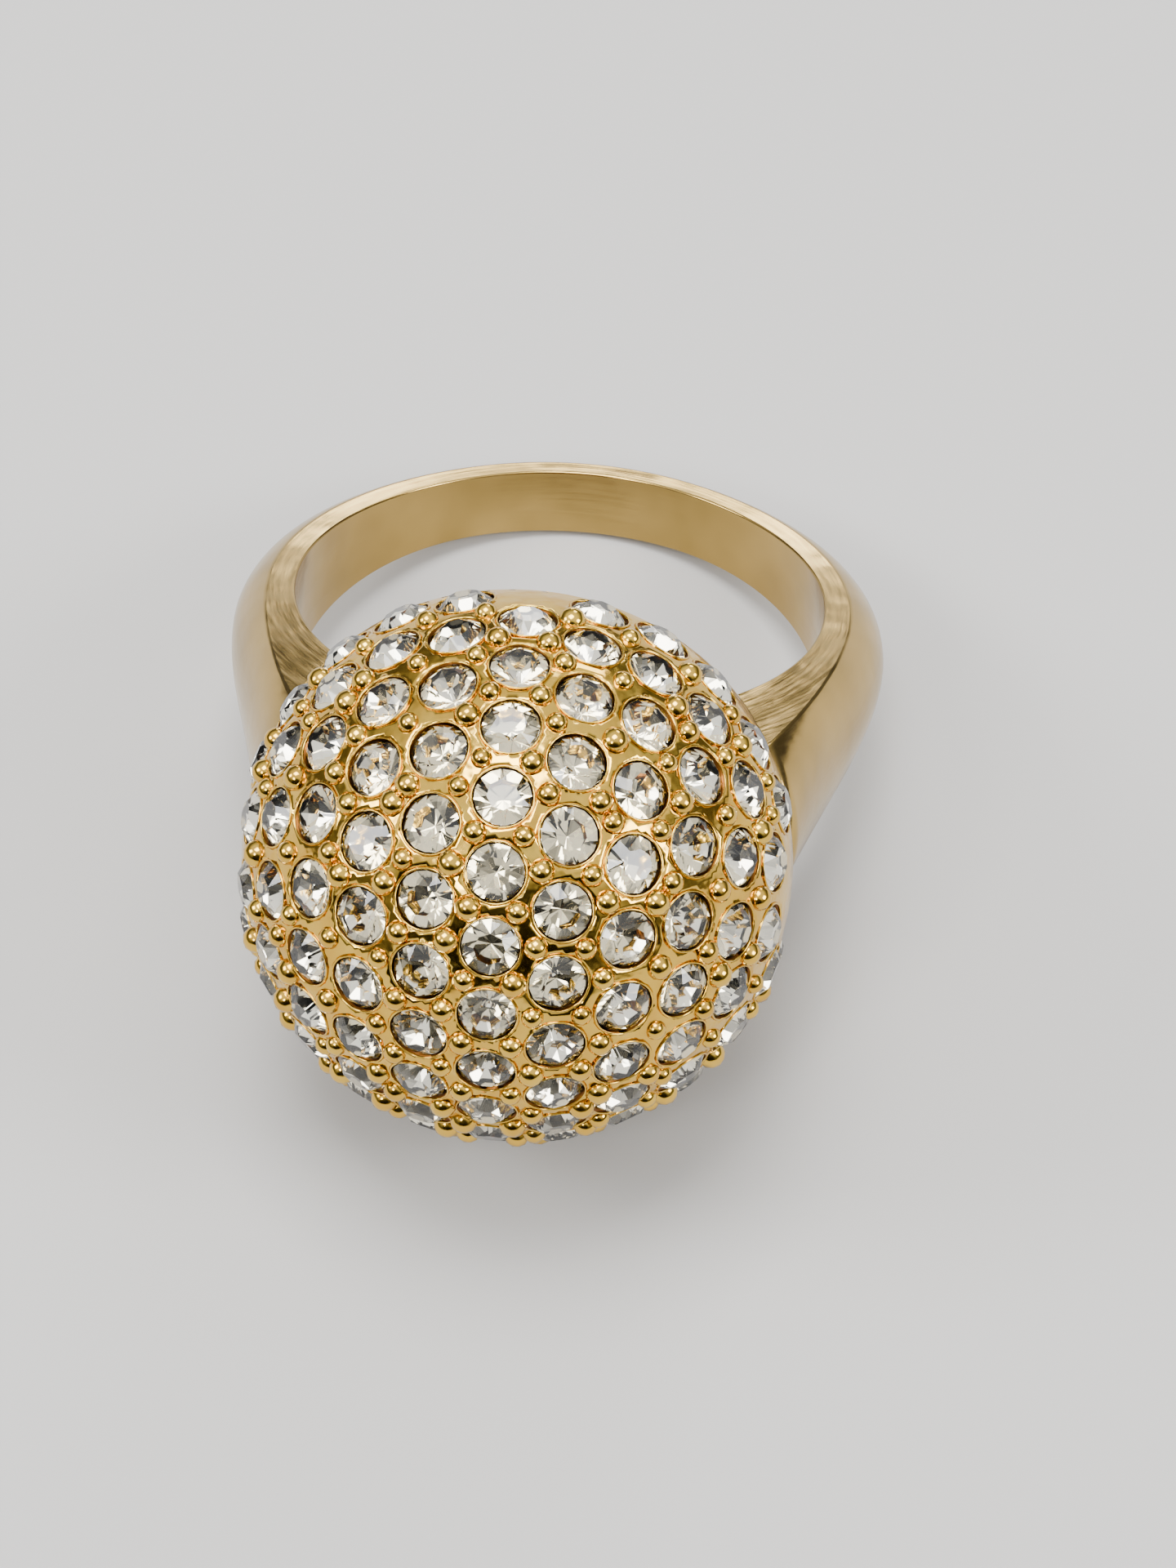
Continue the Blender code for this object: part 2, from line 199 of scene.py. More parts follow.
def add_node(tree, kind, settings=(), inputs=()):
    """Add a node.  Settings are its own properties.  Inputs are values, sockets to link from, or nodes whose
    first output is linked."""
    node = tree.nodes.new(kind)
    for name, value in dict(settings).items():
        setattr(node, name, value)
    for key, value in dict(inputs).items():
        source = value.outputs[0] if isinstance(value, bpy.types.Node) else value
        if isinstance(source, bpy.types.NodeSocket):
            tree.links.new(source, node.inputs[key])
        else:
            node.inputs[key].default_value = source
    return node


def new_tree(name, sockets):
    """Start a Geometry Nodes tree with inputs of these names and kinds; return it and the inputs' sockets."""
    tree = bpy.data.node_groups.new(name, "GeometryNodeTree")
    for label, kind in sockets.items():
        tree.interface.new_socket(label, in_out="INPUT", socket_type="NodeSocket" + kind)
    tree.interface.new_socket("Geometry", in_out="OUTPUT", socket_type="NodeSocketGeometry")
    return tree, add_node(tree, "NodeGroupInput").outputs


def end_tree(tree, geometry, *coats):
    """Make the copies real, set each (material, selection) in turn and give the result out."""
    result = add_node(tree, "GeometryNodeRealizeInstances", inputs={0: geometry})
    for material, selection in coats:
        result = add_node(tree, "GeometryNodeSetMaterial", inputs={"Geometry": result, "Material": material,
                                                                   "Selection": selection})
    add_node(tree, "NodeGroupOutput", inputs={"Geometry": result})


def link_object(name, data):
    """Put a new object with this data into the scene."""
    thing = bpy.data.objects.new(name, data)
    bpy.context.scene.collection.objects.link(thing)
    return thing


def finish_mesh(shape, name):
    """Turn a bmesh into a mesh."""
    mesh = bpy.data.meshes.new(name)
    shape.to_mesh(mesh)
    shape.free()
    return mesh


def run_tree(name, tree, values, matrix):
    """Run a tree with its inputs' values and return its result as a plain mesh object in its place."""
    carrier = link_object(name + "_carrier", bpy.data.meshes.new(name + "_carrier"))
    modifier = carrier.modifiers.new("nodes", "NODES")
    modifier.node_group = tree
    for item in tree.interface.items_tree:
        if item.item_type == "SOCKET" and item.in_out == "INPUT":
            modifier[item.identifier] = values[item.name]
    graph = bpy.context.evaluated_depsgraph_get()
    mesh = bpy.data.meshes.new_from_object(carrier.evaluated_get(graph), preserve_all_data_layers=True,
                                           depsgraph=graph)
    bpy.data.objects.remove(carrier, do_unlink=True)
    mesh.name = name
    mesh.transform(matrix)
    return link_object(name, mesh)


def finish_piece(piece, slot, *nodes):
    """Ride a piece on the ring's one body and hide the solids that it stands for; the finish's name is not
    used.
    """
    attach(piece, "root")
    if nodes:
        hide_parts(*nodes)


# Materials.

def new_material(name):
    """Start a material; return it, its node tree and its shader."""
    material = bpy.data.materials.new(name)
    material.use_nodes = True
    return material, material.node_tree, material.node_tree.nodes["Principled BSDF"]


def tumbled_scratches(tree, placed, grit):
    """Fine marks in no direction, as a tumbling barrel leaves them."""
    return add_node(tree, "ShaderNodeTexNoise", inputs={"Vector": placed, "Scale": 1 / grit,
                                                        "Detail": SCRATCH_DETAIL})


def buffed_scratches(tree, placed, grit):
    """Scratches drawn out round the band, as a buffing wheel leaves them: slow round the finger axis and as
    fine as the grit across it."""
    ring = add_node(tree, "ShaderNodeSeparateXYZ", inputs={0: placed})
    level = add_node(tree, "ShaderNodeCombineXYZ", inputs={"X": ring.outputs["X"], "Y": ring.outputs["Y"]})
    radius = add_node(tree, "ShaderNodeVectorMath", {"operation": "LENGTH"}, {0: level})
    depth = add_node(tree, "ShaderNodeMath", {"operation": "DIVIDE"}, {0: radius.outputs["Value"], 1: grit})
    height = add_node(tree, "ShaderNodeMath", {"operation": "DIVIDE"}, {0: ring.outputs["Z"], 1: grit})
    spoke = add_node(tree, "ShaderNodeVectorMath", {"operation": "NORMALIZE"}, {0: level})
    turns = add_node(tree, "ShaderNodeSeparateXYZ", inputs={0: spoke})
    drawn = {}
    for axis in ("X", "Y"):
        drawn[axis] = add_node(tree, "ShaderNodeMath", {"operation": "MULTIPLY"},
                               {0: turns.outputs[axis], 1: HOLE_RADIUS / BUFFING_LENGTH})
    place = add_node(tree, "ShaderNodeCombineXYZ", inputs={**drawn, "Z": height})
    return add_node(tree, "ShaderNodeTexNoise", {"noise_dimensions": "4D"},
                    {"Vector": place, "W": depth, "Scale": 1.0, "Detail": SCRATCH_DETAIL})


def gold_plate(name, matrix, light, deep, roughness, wave, wave_depth, grit, grit_depth, scratches):
    """Thin pale gold electroplated over cast brass: a clean warm mirror, softened by polishing marks.

    Light and deep are the plating's colours where it is thick and where it thins over the casting's slow
    ripples, and wave is those ripples' size.  Grit is the spacing of the fine scratches.  Real ones are far
    finer, and these are as coarse as they need to be to show.
    """
    material, tree, shader = new_material(name)
    where = add_node(tree, "ShaderNodeTexCoord")
    shift, turn, _ = matrix.inverted().decompose()
    placed = add_node(tree, "ShaderNodeMapping", inputs={"Vector": where.outputs["Object"], "Location": shift,
                                                         "Rotation": turn.to_euler()})
    ripple = add_node(tree, "ShaderNodeTexNoise", inputs={"Vector": placed, "Scale": 1 / wave,
                                                          "Detail": RIPPLE_DETAIL})
    scratch = scratches(tree, placed, grit)
    tint = add_node(tree, "ShaderNodeMix", {"data_type": "RGBA"}, {"Factor": ripple, "A": linear(light),
                                                                   "B": linear(deep)})
    least, most = (roughness * part for part in SCRATCH_ROUGHNESS)
    spread = add_node(tree, "ShaderNodeMapRange", inputs={"Value": scratch, "From Min": SCRATCH_RANGE[0],
                                                          "From Max": SCRATCH_RANGE[1], "To Min": least,
                                                          "To Max": most})
    slow = add_node(tree, "ShaderNodeBump", inputs={"Height": ripple, "Distance": wave_depth,
                                                    "Strength": 1.0})
    fine = add_node(tree, "ShaderNodeBump", inputs={"Height": scratch, "Distance": grit_depth,
                                                    "Strength": 1.0, "Normal": slow})
    shader.inputs["Metallic"].default_value = 1.0
    tree.links.new(tint.outputs["Result"], shader.inputs["Base Color"])
    tree.links.new(spread.outputs["Result"], shader.inputs["Roughness"])
    tree.links.new(fine.outputs["Normal"], shader.inputs["Normal"])
    return material


def polished_gold(matrix):
    """The shank's plating, pale and brownish, over wheel-buffed brass: a mirror with streaks round it."""
    return gold_plate("polished_gold_plated_brass", matrix, light="C8A864", deep="92783F", roughness=0.16,
                      wave=2.6 * MM, wave_depth=0.05 * MM, grit=0.16 * MM, grit_depth=0.005 * MM,
                      scratches=buffed_scratches)


def tumbled_gold(matrix):
    """The dome's plating, a fuller yellow, over brass tumbled bright between the stones: a wavy mirror."""
    return gold_plate("tumbled_gold_plated_brass", matrix, light="E8C455", deep="C28F30", roughness=0.14,
                      wave=0.9 * MM, wave_depth=0.06 * MM, grit=0.15 * MM, grit_depth=0.0008 * MM,
                      scratches=tumbled_scratches)


def painted_shade_seat_gold(matrix):
    """The plating on the seats' walls, which no polish reaches, so dull; painted dark brown as the shade down
    in the seats.
    """
    return gold_plate("dull_gold_painted_seat_shade", matrix, light="8F5A24", deep="5A3312", roughness=0.35,
                      wave=0.6 * MM, wave_depth=0.02 * MM, grit=0.15 * MM, grit_depth=0.002 * MM,
                      scratches=tumbled_scratches)


def lead_glass():
    """Clear pressed and polished lead glass: no colour of its own, sharp bright facets."""
    material, _, shader = new_material("clear_lead_glass")
    shader.inputs["Base Color"].default_value = linear("FFFFFF")
    shader.inputs["Roughness"].default_value = 0.0
    shader.inputs["IOR"].default_value = 1.58
    shader.inputs["Transmission Weight"].default_value = 1.0
    return material


def silver_foil():
    """The mirror coat on a stone's pointed back: silver sprayed on the glass, seen through it."""
    material, _, shader = new_material("silver_foil")
    shader.inputs["Base Color"].default_value = linear("F8F1DC")
    shader.inputs["Metallic"].default_value = 1.0
    shader.inputs["Roughness"].default_value = 0.06
    return material


def pale_card():
    """Matt pale card, on which the ring lies."""
    material, _, shader = new_material("pale_card")
    shader.inputs["Base Color"].default_value = linear("B4B2AF")
    shader.inputs["Roughness"].default_value = 0.8
    return material


# Shank.

def ease(fraction):
    """Rise from 0 to 1 with level ends."""
    clipped = min(max(fraction, 0.0), 1.0)
    return (1 - math.cos(math.pi * clipped)) / 2


def half_width(angle):
    """Give half the band's width at an angle from its back."""
    growth = (BAND_WIDTH_HEAD - BAND_WIDTH_BACK) / 2
    return BAND_WIDTH_BACK / 2 + growth * ease((angle - BACK_FLAT_ANGLE) / (math.pi - BACK_FLAT_ANGLE))


def shoulder_climb(angle):
    """Rise from 0 at the band's side to 1 where the shoulder meets the dome."""
    quarter = math.pi / 2
    return min(max(angle - quarter, 0.0) / (quarter - SHOULDER_END), 1.0)


def edge_thickness(angle):
    """Give the side edge's thickness, before the shoulder's rise."""
    return EDGE_THICKNESS_BACK + (EDGE_THICKNESS_HEAD - EDGE_THICKNESS_BACK) * math.sin(angle / 2)**2


def edge_radius(angle):
    """Give the radius where the flat side edge ends and the crown starts."""
    rise = SHOULDER_EDGE_RISE * shoulder_climb(angle)**SHOULDER_EDGE_POWER
    return HOLE_RADIUS + edge_thickness(angle) + rise


def crown_radius(angle):
    """Give the radius of the crown's top."""
    side = min(angle, math.pi / 2)
    swell = CROWN_BACK + (CROWN_SIDE - CROWN_BACK) * ease(side * 2 / math.pi)
    band = HOLE_RADIUS + edge_thickness(side) + swell
    return band + (SHOULDER_TOP - band) * shoulder_climb(angle)**SHOULDER_CROWN_POWER


def band_section(angle):
    """List a section's corners as (radius, height along the finger axis), in order round the section."""
    half = half_width(angle)
    bridge = 1 - ease((math.pi - angle - BRIDGE_HALF_ANGLE) / (BRIDGE_END_ANGLE - BRIDGE_HALF_ANGLE))
    under_dome = HOLE_RADIUS + BRIDGE_THICKNESS
    edge = edge_radius(angle) * (1 - bridge) + (under_dome - BRIDGE_EDGE_DROP) * bridge
    crown = crown_radius(angle) * (1 - bridge) + under_dome * bridge
    corners = [(HOLE_RADIUS, -half), (HOLE_RADIUS, half)]
    for step in range(CROWN_POINTS + 1):
        turn = CROWN_HALF_ANGLE * (1 - 2 * step / CROWN_POINTS)
        swell = (math.cos(turn) - math.cos(CROWN_HALF_ANGLE)) / (1 - math.cos(CROWN_HALF_ANGLE))
        corners.append((edge + (crown - edge) * swell, half * math.sin(turn) / math.sin(CROWN_HALF_ANGLE)))
    return corners


def make_shank(matrix, material):
    """Loft the closed band from its sections and round its side edges."""
    shape = bmesh.new()
    rings = []
    for station in range(BAND_STATIONS):
        turn = 2 * math.pi * station / BAND_STATIONS
        ring = []
        for radius, height in band_section(min(turn, 2 * math.pi - turn)):
            ring.append(shape.verts.new((radius * math.sin(turn), radius * math.cos(turn), height)))
        rings.append(ring)
    for ring, following in zip(rings, rings[1:] + rings[:1]):
        for corner in range(len(ring)):
            after = (corner + 1) % len(ring)
            shape.faces.new((ring[corner], ring[after], following[after], following[corner]))
    bmesh.ops.recalc_face_normals(shape, faces=shape.faces)
    rounded = shape.edges.layers.float.new("bevel_weight_edge")
    for ring, following in zip(rings, rings[1:] + rings[:1]):
        for corner in SIDE_EDGE_CORNERS:
            shape.edges.get((ring[corner], following[corner]))[rounded] = 1.0
    mesh = finish_mesh(shape, "polished_shank")
    mesh.transform(matrix)
    mesh.materials.append(material)
    mesh.shade_smooth()
    piece = link_object("polished_shank", mesh)
    rounding = piece.modifiers.new("rounded edges", "BEVEL")
    rounding.limit_method = "WEIGHT"
    rounding.width = EDGE_ROUNDING
    rounding.segments = EDGE_ROUNDING_STEPS
    rounding.harden_normals = True
    finish_piece(piece, "polished_gold_plate", "shank")


# Dome.

def stone_rows():
    """Return {row number: (latitude, first longitude, step, count)} for the stones that fit on the dome."""
    rows = {}
    last = int(LAST_ROW_LATITUDE / ROW_STEP_ANGLE)
    polar_limit = math.acos(-RIM_DROP / DOME_RADIUS) - SEAT_HALF_ANGLE
    for row in range(-last, last + 1):
        latitude = row * ROW_STEP_ANGLE
        step = STONE_STEP_ANGLE / math.cos(latitude)
        shift = ROW_SHIFT_ANGLE + (step / 2 if abs(row) in HALF_STEP_ROWS else 0.0)
        reach = int(math.pi / step) + 1
        places = []
        for place in range(-reach, reach + 1):
            longitude = shift + place * step
            far_round = abs(longitude) > math.pi
            at_shoulder = abs(latitude) > SHOULDER_ROW_LATITUDE and abs(longitude) > SHOULDER_STONE_LIMIT
            past_rim = math.cos(latitude) * math.cos(longitude) < math.cos(polar_limit)
            if not (far_round or at_shoulder or past_rim):
                places.append(longitude)
        rows[row] = (latitude, places[0], step, len(places))
    return rows


def seat_points(rows):
    """Make a hidden mesh with a point on the dome's surface at each seat, which the trees read."""
    points = []
    for latitude, first, step, count in rows.values():
        for place in range(count):
            longitude = first + place * step
            points.append(DOME_RADIUS * Vector((math.sin(latitude), math.cos(latitude) * math.sin(longitude),
                                                math.cos(latitude) * math.cos(longitude))))
    mesh = bpy.data.meshes.new("seat_points")
    mesh.from_pydata(points, [], [])
    return link_object("seat_points", mesh)


def skin_tree():
    """The dome's outer skin: a fine ball, open at the rim plane, with a round seat cut in at each stone."""
    tree, given = new_tree("dome_skin", {"Seats": "Object", "Radius": "Float", "Rim Drop": "Float",
                                         "Seat Radius": "Float", "Seat Depth": "Float", "Cell": "Float",
                                         "Material": "Material", "Painted Shade Wall Material": "Material"})
    ball = add_node(tree, "GeometryNodeMeshIcoSphere", inputs={"Radius": given["Radius"],
                                                               "Subdivisions": SKIN_SUBDIVISIONS})
    here = add_node(tree, "GeometryNodeInputPosition")
    apart = add_node(tree, "ShaderNodeSeparateXYZ", inputs={0: here})
    seats = add_node(tree, "GeometryNodeObjectInfo", inputs={"Object": given["Seats"]})
    near = add_node(tree, "GeometryNodeProximity", {"target_element": "POINTS"},
                    {0: seats.outputs["Geometry"]})
    half_cell = add_node(tree, "ShaderNodeMath", {"operation": "MULTIPLY"}, {0: given["Cell"], 1: 0.5})

    # The points more than half a cell past the rim or inside a seat's edge go.
    rim = add_node(tree, "ShaderNodeMath", {"operation": "MULTIPLY"}, {0: given["Rim Drop"], 1: -1.0})
    lowest = add_node(tree, "ShaderNodeMath", {"operation": "SUBTRACT"}, {0: rim, 1: half_cell})
    under_rim = add_node(tree, "FunctionNodeCompare", {"operation": "LESS_THAN"},
                         {0: apart.outputs["Z"], 1: lowest})
    smallest = add_node(tree, "ShaderNodeMath", {"operation": "SUBTRACT"},
                        {0: given["Seat Radius"], 1: half_cell})
    in_seat = add_node(tree, "FunctionNodeCompare", {"operation": "LESS_THAN"},
                       {0: near.outputs["Distance"], 1: smallest})
    gone = add_node(tree, "FunctionNodeBooleanMath", {"operation": "OR"}, {0: under_rim, 1: in_seat})
    kept = add_node(tree, "GeometryNodeDeleteGeometry", {"domain": "POINT"},
                    {"Geometry": ball, "Selection": gone})

    # Those within half a cell of a seat's edge are moved onto it.
    largest = add_node(tree, "ShaderNodeMath", {"operation": "ADD"}, {0: given["Seat Radius"], 1: half_cell})
    over = add_node(tree, "FunctionNodeCompare", {"operation": "GREATER_THAN"},
                    {0: near.outputs["Distance"], 1: smallest})
    under = add_node(tree, "FunctionNodeCompare", {"operation": "LESS_THAN"},
                     {0: near.outputs["Distance"], 1: largest})
    at_seat = add_node(tree, "FunctionNodeBooleanMath", {"operation": "AND"}, {0: over, 1: under})
    away = add_node(tree, "ShaderNodeVectorMath", {"operation": "SUBTRACT"},
                    {0: here, 1: near.outputs["Position"]})
    away_unit = add_node(tree, "ShaderNodeVectorMath", {"operation": "NORMALIZE"}, {0: away})
    from_seat = add_node(tree, "ShaderNodeVectorMath", {"operation": "SCALE"},
                         {0: away_unit, "Scale": given["Seat Radius"]})
    on_seat_edge = add_node(tree, "ShaderNodeVectorMath", {"operation": "ADD"},
                            {0: near.outputs["Position"], 1: from_seat})
    snapped = add_node(tree, "GeometryNodeSetPosition", inputs={"Geometry": kept, "Selection": at_seat,
                                                                "Position": on_seat_edge})

    # Those within half a cell of the rim are moved to its circle.
    level = add_node(tree, "ShaderNodeCombineXYZ", inputs={"X": apart.outputs["X"], "Y": apart.outputs["Y"]})
    level_unit = add_node(tree, "ShaderNodeVectorMath", {"operation": "NORMALIZE"}, {0: level})
    radius_square = add_node(tree, "ShaderNodeMath", {"operation": "POWER"}, {0: given["Radius"], 1: 2.0})
    drop_square = add_node(tree, "ShaderNodeMath", {"operation": "POWER"}, {0: given["Rim Drop"], 1: 2.0})
    rim_square = add_node(tree, "ShaderNodeMath", {"operation": "SUBTRACT"},
                          {0: radius_square, 1: drop_square})
    rim_radius = add_node(tree, "ShaderNodeMath", {"operation": "SQRT"}, {0: rim_square})
    round_rim = add_node(tree, "ShaderNodeVectorMath", {"operation": "SCALE"},
                         {0: level_unit, "Scale": rim_radius})
    down = add_node(tree, "ShaderNodeCombineXYZ", inputs={"Z": rim})
    on_rim = add_node(tree, "ShaderNodeVectorMath", {"operation": "ADD"}, {0: round_rim, 1: down})
    highest = add_node(tree, "ShaderNodeMath", {"operation": "ADD"}, {0: rim, 1: half_cell})
    at_rim = add_node(tree, "FunctionNodeCompare", {"operation": "LESS_THAN"},
                      {0: apart.outputs["Z"], 1: highest})
    edged = add_node(tree, "GeometryNodeSetPosition", inputs={"Geometry": snapped, "Selection": at_rim,
                                                              "Position": on_rim})

    # The seats' open edges are drawn in towards the middle of the ball as walls, which carry the seats'
    # painted shade.
    faces_beside = add_node(tree, "GeometryNodeInputMeshEdgeNeighbors")
    lone = add_node(tree, "FunctionNodeCompare", {"data_type": "INT", "operation": "EQUAL"},
                    {2: faces_beside, 3: 1})
    farthest = add_node(tree, "ShaderNodeMath", {"operation": "ADD"}, {0: largest, 1: half_cell})
    near_seat = add_node(tree, "FunctionNodeCompare", {"operation": "LESS_THAN"},
                         {0: near.outputs["Distance"], 1: farthest})
    seat_edge = add_node(tree, "FunctionNodeBooleanMath", {"operation": "AND"}, {0: lone, 1: near_seat})
    outwards = add_node(tree, "ShaderNodeVectorMath", {"operation": "NORMALIZE"},
                        {0: near.outputs["Position"]})
    depth = add_node(tree, "ShaderNodeMath", {"operation": "MULTIPLY"}, {0: given["Seat Depth"], 1: -1.0})
    walled = add_node(tree, "GeometryNodeExtrudeMesh", {"mode": "EDGES"},
                      {"Mesh": edged, "Selection": seat_edge, "Offset": outwards, "Offset Scale": depth})
    smooth = add_node(tree, "GeometryNodeSetShadeSmooth", inputs={"Geometry": walled})
    # The walls get the dark brown painted shade of the seats.
    end_tree(tree, smooth, (given["Material"], True), (given["Painted Shade Wall Material"], walled.outputs["Side"]))
    return tree


def burr_tree():
    """The thin rounded lip that the seat cutter raised round each seat."""
    tree, given = new_tree("seat_burrs", {"Seats": "Object", "Ball Radius": "Float", "Radius": "Float",
                                          "Width": "Float", "Height": "Float", "Material": "Material"})
    ring = add_node(tree, "GeometryNodeCurvePrimitiveCircle", inputs={"Resolution": BURR_SIDES,
                                                                      "Radius": given["Radius"]})
    lip = add_node(tree, "GeometryNodeCurvePrimitiveCircle", inputs={"Resolution": BURR_LIP_SIDES,
                                                                     "Radius": 1.0})
    middle = add_node(tree, "ShaderNodeMath", {"operation": "MULTIPLY"}, {0: given["Width"], 1: 0.5})
    squeeze = add_node(tree, "ShaderNodeCombineXYZ", inputs={"X": middle, "Y": given["Height"], "Z": 1.0})
    oval = add_node(tree, "GeometryNodeTransform", inputs={"Geometry": lip, "Scale": squeeze})
    burr = add_node(tree, "GeometryNodeCurveToMesh", inputs={"Curve": ring, "Profile Curve": oval})
    smooth = add_node(tree, "GeometryNodeSetShadeSmooth", inputs={"Geometry": burr})

    # Each burr stands where its circle lies on the ball.
    seats = add_node(tree, "GeometryNodeObjectInfo", inputs={"Object": given["Seats"]})
    here = add_node(tree, "GeometryNodeInputPosition")
    stand = add_node(tree, "FunctionNodeAlignRotationToVector", {"axis": "Z"}, {"Vector": here})
    unit = add_node(tree, "ShaderNodeVectorMath", {"operation": "NORMALIZE"}, {0: here})
    ball_square = add_node(tree, "ShaderNodeMath", {"operation": "POWER"}, {0: given["Ball Radius"], 1: 2.0})
    ring_square = add_node(tree, "ShaderNodeMath", {"operation": "POWER"}, {0: given["Radius"], 1: 2.0})
    square = add_node(tree, "ShaderNodeMath", {"operation": "SUBTRACT"}, {0: ball_square, 1: ring_square})
    level = add_node(tree, "ShaderNodeMath", {"operation": "SQRT"}, {0: square})
    place = add_node(tree, "ShaderNodeVectorMath", {"operation": "SCALE"}, {0: unit, "Scale": level})
    points = add_node(tree, "GeometryNodeMeshToPoints", inputs={"Mesh": seats.outputs["Geometry"],
                                                                "Position": place})
    copies = add_node(tree, "GeometryNodeInstanceOnPoints", inputs={"Points": points, "Instance": smooth,
                                                                    "Rotation": stand})
    end_tree(tree, copies, (given["Material"], True))
    return tree


def grain_tree():
    """The round grains raised from the metal in each hollow between three stones, one on each face of the
    seats' convex hull.  On a ball that hull is the net of nearest neighbours, and the direction that a face
    looks in is the place as far from one of its stones as from another."""
    tree, given = new_tree("grains", {"Seats": "Object", "Ball Radius": "Float", "Grain Radius": "Float",
                                      "Sink": "Float", "Spacing": "Float", "Rim Drop": "Float",
                                      "Seed": "Int", "Material": "Material"})
    seats = add_node(tree, "GeometryNodeObjectInfo", inputs={"Object": given["Seats"]})
    hull = add_node(tree, "GeometryNodeConvexHull", inputs={0: seats.outputs["Geometry"]})
    here = add_node(tree, "GeometryNodeInputPosition")
    looks = add_node(tree, "GeometryNodeInputNormal")
    level = add_node(tree, "ShaderNodeMath", {"operation": "SUBTRACT"},
                     {0: given["Ball Radius"], 1: given["Sink"]})
    place = add_node(tree, "ShaderNodeVectorMath", {"operation": "SCALE"}, {0: looks, "Scale": level})

    # Faces that span the open side and grains that would hang over the rim are left out.
    reach = add_node(tree, "ShaderNodeVectorMath", {"operation": "LENGTH"}, {0: here})
    least = add_node(tree, "ShaderNodeMath", {"operation": "MULTIPLY"},
                     {0: given["Ball Radius"], 1: HULL_ON_BALL})
    on_ball = add_node(tree, "FunctionNodeCompare", {"operation": "GREATER_THAN"},
                       {0: reach.outputs["Value"], 1: least})
    apart = add_node(tree, "ShaderNodeSeparateXYZ", inputs={0: place})
    clear = add_node(tree, "ShaderNodeMath", {"operation": "MULTIPLY"},
                     {0: given["Grain Radius"], 1: GRAIN_ABOVE_RIM})
    lowest = add_node(tree, "ShaderNodeMath", {"operation": "SUBTRACT"}, {0: clear, 1: given["Rim Drop"]})
    over_rim = add_node(tree, "FunctionNodeCompare", {"operation": "GREATER_THAN"},
                        {0: apart.outputs["Z"], 1: lowest})
    wanted = add_node(tree, "FunctionNodeBooleanMath", {"operation": "AND"}, {0: on_ball, 1: over_rim})
    places = add_node(tree, "GeometryNodeMeshToPoints", {"mode": "FACES"},
                      {"Mesh": hull, "Selection": wanted, "Position": place})
    merged = add_node(tree, "GeometryNodeMergeByDistance", inputs={"Geometry": places,
                                                                   "Distance": given["Spacing"]})

    grain = add_node(tree, "GeometryNodeMeshIcoSphere", inputs={"Radius": given["Grain Radius"],
                                                                "Subdivisions": GRAIN_SUBDIVISIONS})
    smooth = add_node(tree, "GeometryNodeSetShadeSmooth", inputs={"Geometry": grain})
    size = add_node(tree, "FunctionNodeRandomValue", {"data_type": "FLOAT"},
                    {"Min": GRAIN_SIZES[0], "Max": GRAIN_SIZES[1], "Seed": given["Seed"]})
    copies = add_node(tree, "GeometryNodeInstanceOnPoints", inputs={"Points": merged, "Instance": smooth,
                                                                    "Scale": size.outputs[1]})
    end_tree(tree, copies, (given["Material"], True))
    return tree


def make_shell_inside(matrix, material):
    """Turn the shell's inner face and its flat rim, from the skin's edge to the inside's pole."""
    end = math.acos(-RIM_DROP / SHELL_INNER_RADIUS)
    outline = [(RIM_OUTER_RADIUS, -RIM_DROP)]
    for step in range(SHELL_STEPS, -1, -1):
        polar = end * step / SHELL_STEPS
        outline.append((SHELL_INNER_RADIUS * math.sin(polar), SHELL_INNER_RADIUS * math.cos(polar)))
    shape = bmesh.new()
    corners = [shape.verts.new((radius, 0.0, height)) for radius, height in outline]
    edges = [shape.edges.new(pair) for pair in zip(corners, corners[1:])]
    bmesh.ops.spin(shape, geom=corners + edges, cent=(0, 0, 0), axis=(0, 0, 1), angle=2 * math.pi,
                   steps=SHELL_SIDES, use_duplicate=False)
    bmesh.ops.remove_doubles(shape, verts=shape.verts, dist=SAME_POINT)
    for face in shape.faces:
        middle = face.calc_center_median()
        on_rim = abs(middle.z + RIM_DROP) <= SAME_LEVEL
        outwards = Vector((0, 0, -1)) if on_rim else -middle
        if face.normal.dot(outwards) < 0:
            face.normal_flip()
    mesh = finish_mesh(shape, "dome_inside")
    mesh.shade_smooth()
    mesh.set_sharp_from_angle(angle=SHELL_SHARP_ANGLE)
    mesh.transform(matrix)
    mesh.materials.append(material)
    piece = link_object("dome_inside", mesh)
    finish_piece(piece, "cast_gold_plate")


def make_dome(matrix, rows, material, painted_seat_shade):
    """Make the skin with its seats, whose walls are painted dark brown as shade, the burrs, the grains and
    the shell's inside.
    """
    seats = seat_points(rows)
    skin = run_tree("dome_skin", skin_tree(), {"Seats": seats, "Radius": DOME_RADIUS, "Rim Drop": RIM_DROP,
                                               "Seat Radius": SEAT_RADIUS, "Seat Depth": SEAT_WALL_DEPTH,
                                               "Cell": SKIN_CELL, "Material": material,
                                               "Painted Shade Wall Material": painted_seat_shade}, matrix)
    finish_piece(skin, "cast_gold_plate", "dome_shell")
    burrs = run_tree("seat_burrs", burr_tree(), {"Seats": seats, "Ball Radius": DOME_RADIUS,
                                                 "Radius": SEAT_RADIUS, "Width": BURR_WIDTH,
                                                 "Height": BURR_HEIGHT, "Material": material}, matrix)
    finish_piece(burrs, "cast_gold_plate")
    grains = run_tree("grains", grain_tree(), {"Seats": seats, "Ball Radius": DOME_RADIUS,
                                               "Grain Radius": GRAIN_RADIUS, "Sink": GRAIN_SINK,
                                               "Spacing": GRAIN_SPACING, "Rim Drop": RIM_DROP,
                                               "Seed": GRAIN_SEED, "Material": material}, matrix)
    finish_piece(grains, "cast_gold_plate")
    make_shell_inside(matrix, material)
    bpy.data.objects.remove(seats, do_unlink=True)


# Stones.

